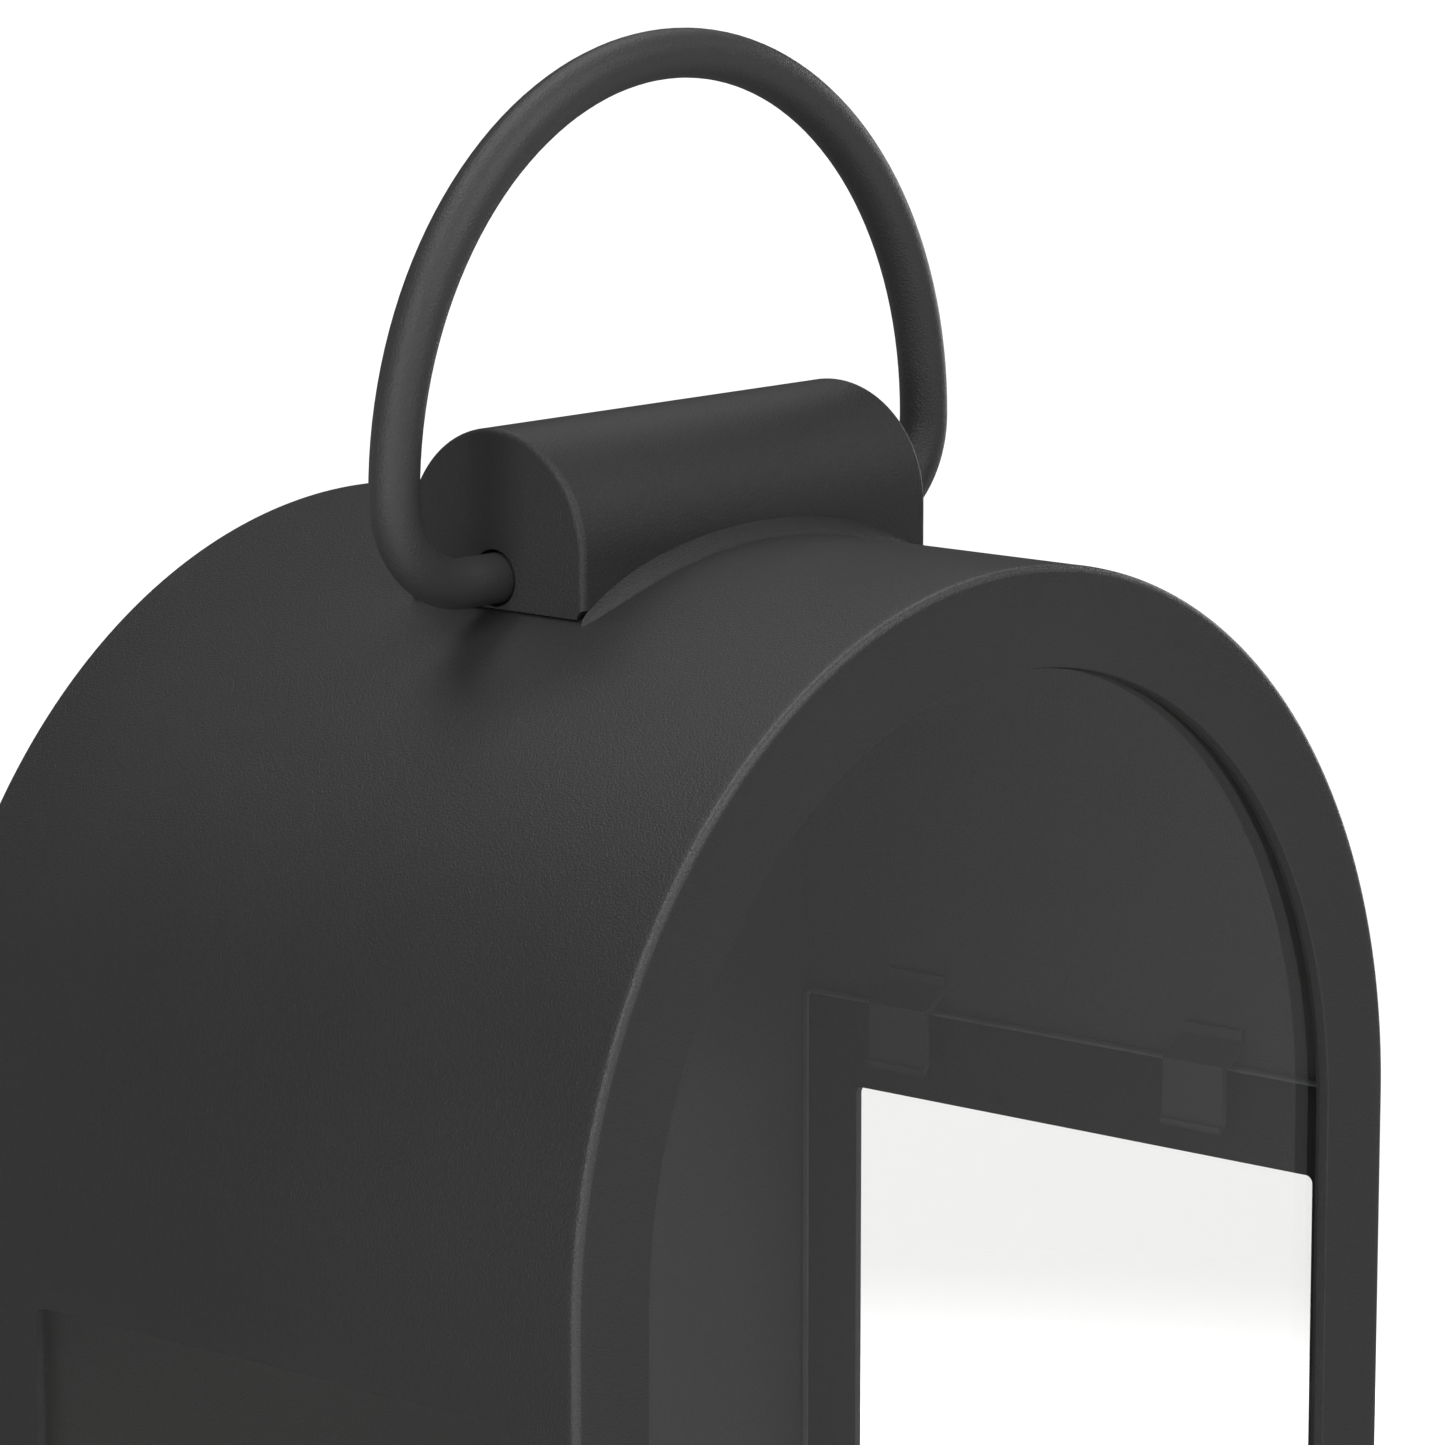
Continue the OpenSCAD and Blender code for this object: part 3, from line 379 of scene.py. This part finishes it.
def moulded_plastic(name, colour, lighter, rough_low, rough_high, depth):
    """Moulded plastic with the spark-eroded grain of its tool."""
    g = material_graph(name)
    grain = g.noise(scale=1500.0, detail=3.0, roughness=0.6)
    flow = g.noise(scale=35.0, detail=3.0)
    tint = g.blend(g.contrast(flow, 0.35, 0.7), colour, lighter)
    rough = g.math("ADD", g.spread(grain, -0.05, 0.05), g.spread(flow, rough_low, rough_high))
    normal = g.bump(grain, distance=depth, strength=0.6)
    g.principled(Base_Color=tint, Roughness=rough, Normal=normal)
    return g.owner


def solar_silicon():
    """Crystalline silicon: blue-black flakes crossed by thin printed silver fingers."""
    g = material_graph("solar_silicon")
    flakes = g.add("ShaderNodeTexVoronoi", {"Vector": g.position(), "Scale": 190.0})
    shade = g.add("ShaderNodeSeparateColor", {0: flakes.outputs["Color"]}).outputs[0]
    silicon = g.blend(shade, (0.008, 0.013, 0.045), (0.014, 0.026, 0.085))
    phase = g.math("FRACT", g.math("DIVIDE", g.height(), FINGER_PITCH))
    finger = g.math("LESS_THAN", phase, FINGER_SHARE)
    rough = g.math("ADD", g.spread(shade, 0.22, 0.34), g.math("MULTIPLY", finger, 0.15))
    g.principled(
        Base_Color=g.blend(finger, silicon, (0.42, 0.43, 0.45)),
        Roughness=rough,
        Metallic=g.math("MULTIPLY", finger, 0.7),
        Normal=g.bump(finger, distance=0.00003, strength=0.5),
    )
    return g.owner


def wire_sleeve(name, colour, lighter):
    """Soft insulation: satin, with a slow change of sheen along the lead."""
    g = material_graph(name)
    slow = g.noise(scale=120.0, detail=3.0)
    fine = g.noise(scale=2200.0, detail=1.0)
    tint = g.blend(slow, colour, lighter)
    normal = g.bump(fine, distance=0.00002, strength=0.4)
    g.principled(Base_Color=tint, Roughness=g.spread(slow, 0.36, 0.52), Normal=normal)
    return g.owner


def shrink_sleeve():
    """The cell's shrink sleeve: glossy film with small wrinkles drawn round it."""
    g = material_graph("shrink_sleeve")
    pulled = g.stretched((1.0, 0.25, 0.25))
    wrinkle = g.noise(scale=420.0, detail=4.0, roughness=0.6, vector=pulled)
    cloud = g.noise(scale=40.0, detail=2.0)
    tint = g.blend(cloud, (0.026, 0.15, 0.26), (0.034, 0.18, 0.29))
    normal = g.bump(wrinkle, distance=0.00010, strength=0.5)
    g.principled(Base_Color=tint, Roughness=g.spread(wrinkle, 0.16, 0.30), Normal=normal)
    return g.owner


def solder_mask(name, colour, track_colour):
    """Solder mask over copper: straight tracks show through as a different shade."""
    g = material_graph(name)
    cells = {"Vector": g.position(), "Scale": 260.0}
    grid = g.add("ShaderNodeTexVoronoi", cells, distance="CHEBYCHEV")
    off_track = g.math("ABSOLUTE", g.math("SUBTRACT", grid.outputs["Distance"], 0.34))
    track = g.math("LESS_THAN", off_track, 0.05)
    haze = g.noise(scale=90.0, detail=3.0)
    tint = g.blend(g.math("MULTIPLY", track, 0.8), colour, track_colour)
    normal = g.bump(track, distance=0.00004, strength=0.7)
    g.principled(Base_Color=tint, Roughness=g.spread(haze, 0.22, 0.38), Normal=normal)
    return g.owner


def candle_wax():
    """Ivory wax-effect shell: milky, softly mottled and slightly dimpled."""
    g = material_graph("candle_wax")
    bloom = g.noise(scale=34.0, detail=4.0, roughness=0.6)
    dimple = g.noise(scale=150.0, detail=3.0)
    fine = g.noise(scale=900.0, detail=2.0)
    tint = g.blend(g.contrast(bloom, 0.3, 0.7), (0.86, 0.76, 0.57), (0.90, 0.83, 0.68))
    normal = g.bump(dimple, distance=0.00035, strength=0.5)
    normal = g.bump(fine, distance=0.00003, strength=0.4, normal=normal)
    g.principled(
        Base_Color=tint, Roughness=g.spread(bloom, 0.38, 0.55), Normal=normal,
        Subsurface_Weight=0.35, Subsurface_Scale=0.004,
    )
    return g.owner


def frosted_flame():
    """Frosted amber lens: deep amber at its foot and paler towards its tip."""
    g = material_graph("frosted_flame")
    low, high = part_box("flame_lens")
    rise = g.contrast(g.height(), low[2], high[2])
    frost = g.noise(scale=1600.0, detail=2.0)
    tint = g.blend(rise, (0.98, 0.56, 0.20), (0.97, 0.84, 0.58))
    g.principled(
        Base_Color=tint, Roughness=g.spread(frost, 0.32, 0.48), Transmission_Weight=0.55, IOR=1.49,
        Normal=g.bump(frost, distance=0.00003, strength=0.5),
    )
    return g.owner


def lamp_epoxy():
    """Cast epoxy of the light source, with the phosphor's yellow inside."""
    g = material_graph("lamp_epoxy")
    cast = g.noise(scale=700.0, detail=2.0)
    tint = g.blend(cast, (0.93, 0.80, 0.40), (0.97, 0.88, 0.56))
    g.principled(Base_Color=tint, Roughness=g.spread(cast, 0.10, 0.22), Transmission_Weight=0.3)
    return g.owner


def reflections(g):
    """How often a ray has been reflected: its bounces less its passes through glass."""
    path = g.add("ShaderNodeLightPath").outputs
    return g.math("SUBTRACT", path["Ray Depth"], path["Transmission Depth"])


def floor_paper():
    """White paper: lit and shaded near the lantern, and evenly bright further out.

    In reflections it is dimmer, and as bright each way as FLOOR_BOUNCE says, because a studio
    lights its sweep unevenly.
    """
    g = material_graph("floor_paper")
    place = g.position()
    distance = g.add("ShaderNodeVectorMath", {0: place}, operation="LENGTH").outputs["Value"]
    far = g.add(
        "ShaderNodeMapRange",
        {"Value": distance, "From Min": FLOOR_SHADOW_NEAR, "From Max": FLOOR_SHADOW_FAR},
        interpolation_type="SMOOTHSTEP",
    ).outputs["Result"]
    lit = g.add("ShaderNodeBsdfDiffuse", {"Color": (FLOOR_GAIN, FLOOR_GAIN, FLOOR_GAIN, 1.0)})
    white = g.add("ShaderNodeEmission", {"Strength": FLOOR_WHITE})
    seen = g.add("ShaderNodeMixShader", {0: far, 1: lit.outputs[0], 2: white.outputs[0]})

    way = g.add("ShaderNodeVectorMath", {0: place}, operation="NORMALIZE").outputs["Vector"]
    total = 0.0
    for (x, y), level in zip(FLOOR_QUARTERS, FLOOR_BOUNCE):
        inputs = {0: way, 1: (x * math.sqrt(0.5), y * math.sqrt(0.5), 0.0)}
        dot = g.add("ShaderNodeVectorMath", inputs, operation="DOT_PRODUCT").outputs["Value"]
        along = g.math("MAXIMUM", dot, 0.0)
        share = g.math("MULTIPLY", g.math("MULTIPLY", along, along), level)
        total = g.math("ADD", total, share)
    bounce = g.add("ShaderNodeEmission", {"Strength": total})
    mirrored = g.math("GREATER_THAN", reflections(g), 0.5)
    inputs = {0: mirrored, 1: seen.outputs[0], 2: bounce.outputs[0]}
    g.surface(g.add("ShaderNodeMixShader", inputs))
    return g.owner


# Pieces -----------------------------------------------------------------------------------

def shade_smooth(mesh, sharp_angle):
    """Smooth shading that is split at edges sharper than the angle in degrees."""
    for face in mesh.polygons:
        face.use_smooth = True
    mesh.set_sharp_from_angle(angle=math.radians(sharp_angle))


def mesh_piece(name, vertices, faces, material_slot, sharp_angle=SHARP):
    """A closed mesh with smooth faces that are split at its sharp edges."""
    mesh = bpy.data.meshes.new(name)
    mesh.from_pydata(vertices, [], faces)
    build = bmesh.new()
    build.from_mesh(mesh)
    bmesh.ops.remove_doubles(build, verts=build.verts, dist=MERGE_DISTANCE)
    bmesh.ops.recalc_face_normals(build, faces=build.faces)
    build.to_mesh(mesh)
    build.free()
    shade_smooth(mesh, sharp_angle)
    mesh.materials.append(MATERIALS[material_slot])
    piece = bpy.data.objects.new(name, mesh)
    bpy.context.scene.collection.objects.link(piece)
    return piece


def swept(sections):
    """Vertices and faces of a tube through sections of equal length, capped at both ends."""
    count = len(sections[0])
    vertices = [point for section in sections for point in section]
    faces = []
    for i in range(len(sections) - 1):
        start, end = i * count, (i + 1) * count
        for k in range(count):
            m = (k + 1) % count
            faces.append((start + k, start + m, end + m, end + k))
    last = (len(sections) - 1) * count
    faces.append(tuple(range(count)))
    faces.append(tuple(last + k for k in reversed(range(count))))
    return vertices, faces


def arch_points(low, spring, steps):
    """Outward directions and heights along the arch: up one leg, over and down the other."""
    middle = (low + spring) / 2
    points = [((-1.0, 0.0), low), ((-1.0, 0.0), middle)]
    for i in range(steps + 1):
        angle = math.pi * (1.0 - i / steps)
        points.append(((math.cos(angle), math.sin(angle)), spring))
    points += [((1.0, 0.0), middle), ((1.0, 0.0), low)]
    return points


def arched(profile, across, up, height):
    """A profile of radius and depth, set up where the arch points across and up."""
    return [(radius * across, y, height + radius * up) for radius, y in profile]


def quarter_round(centre, radius, start, steps):
    """Points of a quarter circle, in radius and depth, from an angle in degrees."""
    turns = [math.radians(start + 90.0 * i / steps) for i in range(steps + 1)]
    return [(centre[0] + radius * math.cos(t), centre[1] + radius * math.sin(t)) for t in turns]


def make_front_band():
    """The front frame: a flat band with a crisp outer edge, and the sill that joins its feet."""
    low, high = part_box("front_frame")
    half, front, back = high[0], low[1], high[1]
    spring = high[2] - half
    opening = half - BAND_WIDTH
    soft = BAND_SOFT_EDGE
    outer = [(half - inset, front + depth) for inset, depth in BAND_CORNER]
    inner = quarter_round((opening + soft, front + soft), soft, 180.0, BAND_SOFT_STEPS)
    profile = inner + outer + [(half, back), (opening, back)]
    sections = []
    for (across, up), height in arch_points(OPENING_FOOT, spring, ARCH_STEPS):
        sections.append(arched(profile, across, up, height))
    vertices, faces = swept(sections)
    band = mesh_piece("front_band", vertices, faces, "paint")
    # Faces near the outer corner take the glossier, lighter edge paint: the lighter colour is a
    # painted highlight.
    band.data.materials.append(MATERIALS["edge_highlight_paint"])
    for face in band.data.polygons:
        x, y, z = face.center
        inset = half - math.hypot(x, max(0.0, z - spring))
        if inset < EDGE_REACH and y - front < EDGE_REACH:
            face.material_index = 1

    foot = [(-half, back)] + [(-x, y) for x, y in reversed(outer)] + outer + [(half, back)]
    vertices, faces = swept([[(x, y, z) for x, y in foot] for z in (low[2], OPENING_FOOT)])
    sill = mesh_piece("front_band_sill", vertices, faces, "paint")
    for piece in (band, sill):
        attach(piece, "housing")
        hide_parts("front_frame")


def cut_windows(shell, reach):
    """Cuts one opening with rounded corners through both side walls."""
    y0, y1, z0, z1 = WINDOW_BOX
    corner = WINDOW_CORNER
    centres = (
        (y1 - corner, z1 - corner), (y0 + corner, z1 - corner),
        (y0 + corner, z0 + corner), (y1 - corner, z0 + corner),
    )
    outline = []
    for quarter, centre in enumerate(centres):
        outline += quarter_round(centre, corner, 90.0 * quarter, WINDOW_CORNER_STEPS)
    vertices, faces = swept([[(x, y, z) for y, z in outline] for x in (-reach, reach)])
    cutter = mesh_piece("window_cutter", vertices, faces, "paint")
    cut = shell.modifiers.new("windows", "BOOLEAN")
    cut.operation = "DIFFERENCE"
    cut.solver = "EXACT"
    cut.object = cutter
    depsgraph = bpy.context.evaluated_depsgraph_get()
    shell.data = bpy.data.meshes.new_from_object(shell.evaluated_get(depsgraph))
    shell.modifiers.clear()
    bpy.data.objects.remove(cutter)
    shade_smooth(shell.data, SHARP)


def make_shell():
    """The rolled body sheet: walls and vault with an evenly rounded rear rim, and two windows."""
    low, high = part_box("body_shell")
    outer, front, rear = high[0], low[1], high[1]
    spring = high[2] - outer
    rim = SHELL_SHEET / 2
    turns = [math.pi * i / RIM_STEPS for i in range(RIM_STEPS + 1)]
    profile = [(outer, front)]
    profile += [(outer - rim + rim * math.cos(t), rear - rim + rim * math.sin(t)) for t in turns]
    profile.append((outer - SHELL_SHEET, front))
    sections = []
    for (across, up), height in arch_points(low[2], spring, ARCH_STEPS):
        sections.append(arched(profile, across, up, height))
    vertices, faces = swept(sections)
    shell = mesh_piece("shell", vertices, faces, "paint")
    cut_windows(shell, 2 * outer)
    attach(shell, "housing")
    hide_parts("body_shell")


def make_pane(name, node):
    """A pane with arrised edges: clear faces, and a ground edge and bevel all round."""
    low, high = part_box(node)
    arris, corner = PANE_ARRIS, PANE_CORNER
    slices = (
        (low[0], arris), (low[0] + arris, 0.0), (high[0] - arris, 0.0), (high[0], arris),
    )
    sections = []
    for x, inset in slices:
        y0, y1 = low[1] + inset, high[1] - inset
        z0, z1 = low[2] + inset, high[2] - inset
        sections.append([
            (x, y0 + corner, z0), (x, y1 - corner, z0), (x, y1, z0 + corner), (x, y1, z1 - corner),
            (x, y1 - corner, z1), (x, y0 + corner, z1), (x, y0, z1 - corner), (x, y0, z0 + corner),
        ])
    vertices, faces = swept(sections)
    pane = mesh_piece(name, vertices, faces, "glass", SHARP_PANE)
    pane.data.materials.append(MATERIALS["ground_edge"])
    for face in pane.data.polygons:
        if abs(face.normal.x) < PANE_FACE:
            face.material_index = 1
    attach(pane, "housing")
    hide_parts(node)


def make_front_black_bead():
    """Thin black bead in the corner between the front pane and the band: a dark line round the
    opening.
    """
    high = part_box("front_frame")[1]
    half, back = high[0], high[1]
    spring = high[2] - half
    opening = half - BAND_WIDTH
    tuck = opening + FRONT_BEAD_TUCK
    fast, slow = FRONT_BEAD_RATES
    sections = []
    for index, ((across, up), height) in enumerate(arch_points(OPENING_FOOT, spring, BEAD_STEPS)):
        ripple = math.sin(index * fast) * math.sin(index * slow)
        leg = FRONT_BEAD_LEG * (1.0 + FRONT_BEAD_RIPPLE * ripple)
        slope = FRONT_BEAD_SLOPE * leg
        profile = [(tuck, back), (tuck, back - leg), (opening - slope, back - slope)]
        profile.append((opening - leg, back))
        sections.append(arched(profile, across, up, height))
    vertices, faces = swept(sections)
    bead = mesh_piece("front_black_bead", vertices, faces, "rubber", SHARP_FRONT_BEAD)
    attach(bead, "housing")


def weld_profile(leg):
    """Points round a weld bead as rise above the vault and distance out from the saddle."""
    profile = [(-WELD_SINK, 0.0), (-WELD_SINK, leg)]
    for k in range(WELD_FACE_STEPS + 1):
        turn = math.radians(90.0 * k / WELD_FACE_STEPS)
        flat = 1.0 / (math.sin(turn) + math.cos(turn))
        arm = leg * (WELD_FLATNESS * flat + 1.0 - WELD_FLATNESS)
        profile.append((arm * math.sin(turn), arm * math.cos(turn)))
    profile.append((leg, 0.0))
    return profile


def make_saddle_welds():
    """Dressed weld beads along the saddle's two sides: they taper out and barely ripple."""
    half_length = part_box("mount_welds")[1][0]
    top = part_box("body_shell")[1]
    vault = top[0]
    spring = top[2] - vault
    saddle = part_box("handle_mount")[1][1]
    half_angle = math.asin(half_length / vault)
    rear_angle = half_angle - WELD_REAR_STOP / vault
    for side, label, reach in ((-1, "front", half_angle), (1, "rear", rear_angle)):
        sections = []
        for i in range(BEAD_STEPS + 1):
            angle = reach * (2.0 * i / BEAD_STEPS - 1.0)
            distance = (reach - abs(angle)) * vault
            tip = max(0.0, 1.0 - distance / WELD_TIP)
            taper = min(1.0, distance / WELD_TAPER)
            swell = WELD_START + (1.0 - WELD_START) * taper * (2.0 - taper)
            ripple = 1.0 + WELD_RIPPLE * math.sin(angle * WELD_RATE)
            leg = max(WELD_LEAST, WELD_LEG * math.sqrt(1.0 - tip ** 2) * swell * ripple)
            section = []
            for rise, out in weld_profile(leg):
                radius = vault + rise
                y = side * (saddle + out)
                section.append((radius * math.sin(angle), y, spring + radius * math.cos(angle)))
            sections.append(section)
        vertices, faces = swept(sections)
        bead = mesh_piece("saddle_weld_" + label, vertices, faces, "paint", SHARP_WELD)
        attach(bead, "housing")
        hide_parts("mount_welds")


# Studio -----------------------------------------------------------------------------------

def direction(turn, rise):
    """Unit vector from angles in degrees: 0 turned looks along Y, and 90 turned along X."""
    turn, rise = math.radians(turn), math.radians(rise)
    level = math.cos(rise)
    return Vector((math.sin(turn) * level, math.cos(turn) * level, math.sin(rise)))


def add_object(name, data, location, forward):
    """A camera or a light, which looks along the forward vector."""
    thing = bpy.data.objects.new(name, data)
    bpy.context.scene.collection.objects.link(thing)
    thing.location = location
    thing.rotation_euler = forward.to_track_quat("-Z", "Y").to_euler()
    return thing


def make_camera():
    data = bpy.data.cameras.new("camera")
    data.lens = CAMERA_LENS
    data.sensor_width = CAMERA_SENSOR
    data.clip_start, data.clip_end = CAMERA_CLIP
    forward = direction(CAMERA_YAW, -CAMERA_PITCH)
    location = CAMERA_AIM - CAMERA_DISTANCE * forward
    bpy.context.scene.camera = add_object("camera", data, location, forward)


def make_floor():
    bpy.ops.mesh.primitive_plane_add(size=FLOOR_SIZE)
    floor = bpy.context.object
    floor.name = "floor"
    floor.data.materials.append(floor_paper())


def make_world():
    """White where the camera looks past the floor, also through glass. It lights nothing."""
    g = Graph(bpy.data.worlds.new("studio"), "ShaderNodeOutputWorld")
    path = g.add("ShaderNodeLightPath").outputs
    looking = g.math("MAXIMUM", path["Is Camera Ray"], path["Is Transmission Ray"])
    # On the background a ray's depth counts one more than on a surface.
    direct = g.math("LESS_THAN", reflections(g), 1.5)
    level = g.math("MULTIPLY", g.math("MULTIPLY", looking, direct), WORLD_WHITE)
    g.surface(g.add("ShaderNodeBackground", {"Color": (1.0, 1.0, 1.0, 1.0), "Strength": level}))
    bpy.context.scene.world = g.owner


def soft_light(name, azimuth, elevation, size, watts, mirrored):
    """A square soft box that looks at LIGHT_AIM and that the camera doesn't see."""
    data = bpy.data.lights.new(name, "AREA")
    data.shape = "SQUARE"
    data.size = size
    data.energy = watts
    away = direction(180.0 - azimuth, elevation)
    light = add_object(name, data, LIGHT_AIM + LIGHT_DISTANCE * away, -away)
    light.visible_camera = False
    light.visible_glossy = mirrored


make_camera()
make_floor()
make_world()
for name, row in LIGHTS.items():
    soft_light(name, *row)
bpy.context.scene.view_settings.view_transform = "Standard"

MATERIALS = {
    "paint": powder_coat("powder_coat", PAINT_COLOUR, PAINT_ROUGHNESS),
    "rod_sheen_paint": powder_coat("powder_coat_rod_painted_sheen", ROD_SHEEN_COLOUR, ROD_ROUGHNESS),
    "edge_highlight_paint": powder_coat("powder_coat_painted_highlight_edge", EDGE_HIGHLIGHT_COLOUR, EDGE_ROUGHNESS),
    "glass": clear_glass(),
    "ground_edge": ground_glass(),
    "zinc": zinc_plate(),
    "rubber": soft_rubber(),
    "solar_cell": solar_silicon(),
    "tinned": tinned_copper(),
    "cell_wrap": shrink_sleeve(),
    "wax": candle_wax(),
    "flame": frosted_flame(),
    "lamp": lamp_epoxy(),
}
for name, row in PLASTICS.items():
    MATERIALS[name] = moulded_plastic(name, *row)
for name, row in WIRES.items():
    MATERIALS[name] = wire_sleeve(name, *row)
for name, row in BOARDS.items():
    MATERIALS[name] = solder_mask(name, *row)

for row in frame["record"]["subparts"]:
    NODES[row["node"]].data.materials[0] = MATERIALS[row["material_slot"]]
# The ring's rod takes a glossier copy of the paint whose lighter colour is painted sheen.
NODES["handle_ring"].data.materials[0] = MATERIALS["rod_sheen_paint"]

make_shell()
make_front_band()
make_front_black_bead()
make_saddle_welds()
make_pane("left_pane", "side_glass_left")
make_pane("right_pane", "side_glass_right")
